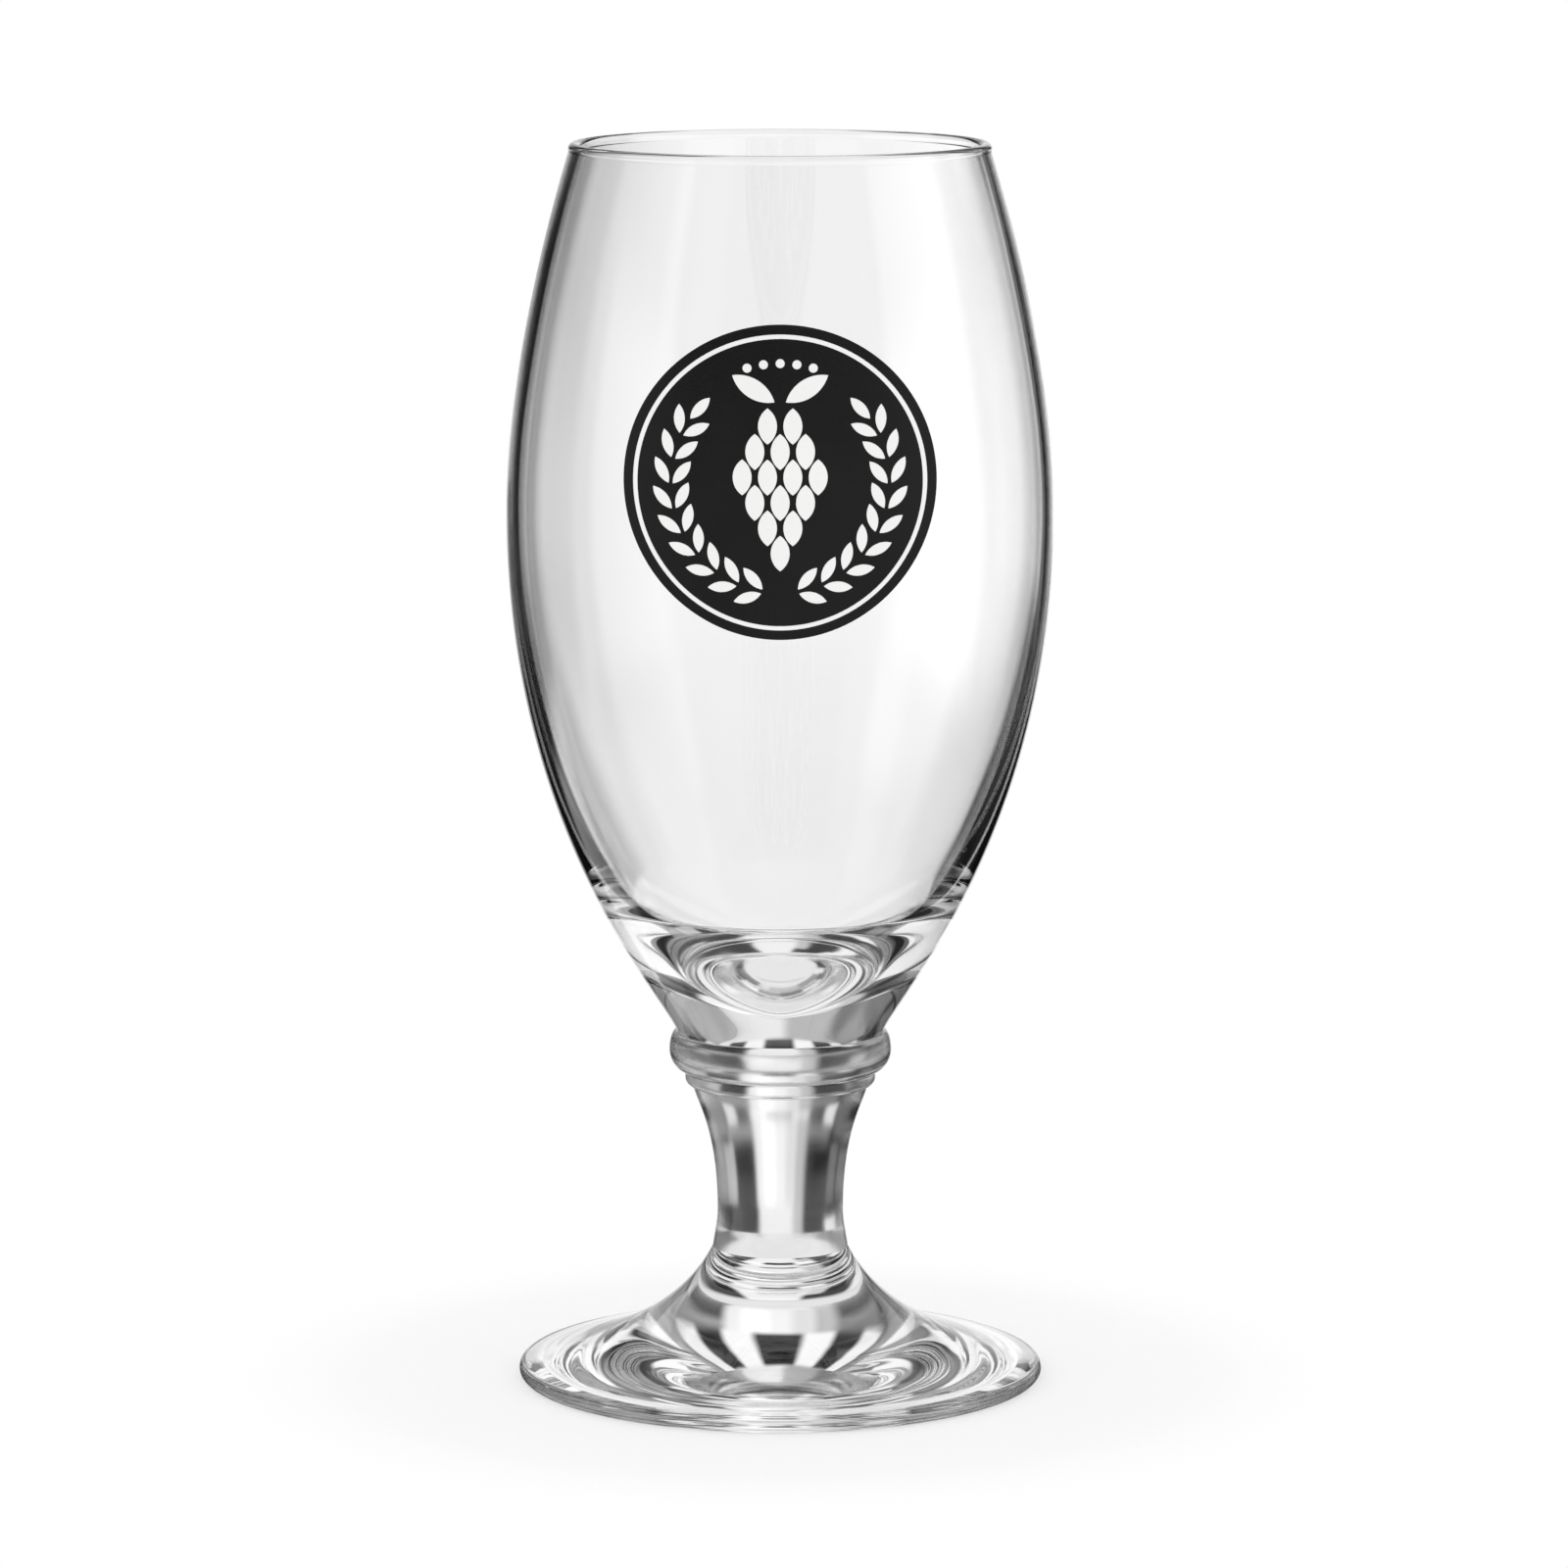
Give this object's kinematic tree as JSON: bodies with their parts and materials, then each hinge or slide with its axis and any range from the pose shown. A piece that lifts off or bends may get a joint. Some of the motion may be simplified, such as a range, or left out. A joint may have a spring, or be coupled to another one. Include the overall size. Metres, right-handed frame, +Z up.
{
  "type": "tulip beer glass",
  "caption": "Clear stemmed beer glass: egg-shaped bowl with a rounded rim, collar ring, short waisted stem, round foot slightly hollow underneath, and a round enamel badge.",
  "frame": {"origin": "centre of the foot on the table", "axes": "+Z up along the glass's axis, the printed badge faces -Y"},
  "size_m": [0.074, 0.0741, 0.169],
  "materials": {
    "clear_glass": "clear polished soda-lime glass",
    "black_enamel": "fired gloss enamel print",
    "white_enamel": "fired gloss enamel print"
  },
  "bodies": {
    "root": {"bowl": "clear_glass", "collar": "clear_glass", "stem": "clear_glass", "foot": "clear_glass", "badge_black": "black_enamel", "badge_white": "white_enamel"}
  },
  "joints": []
}
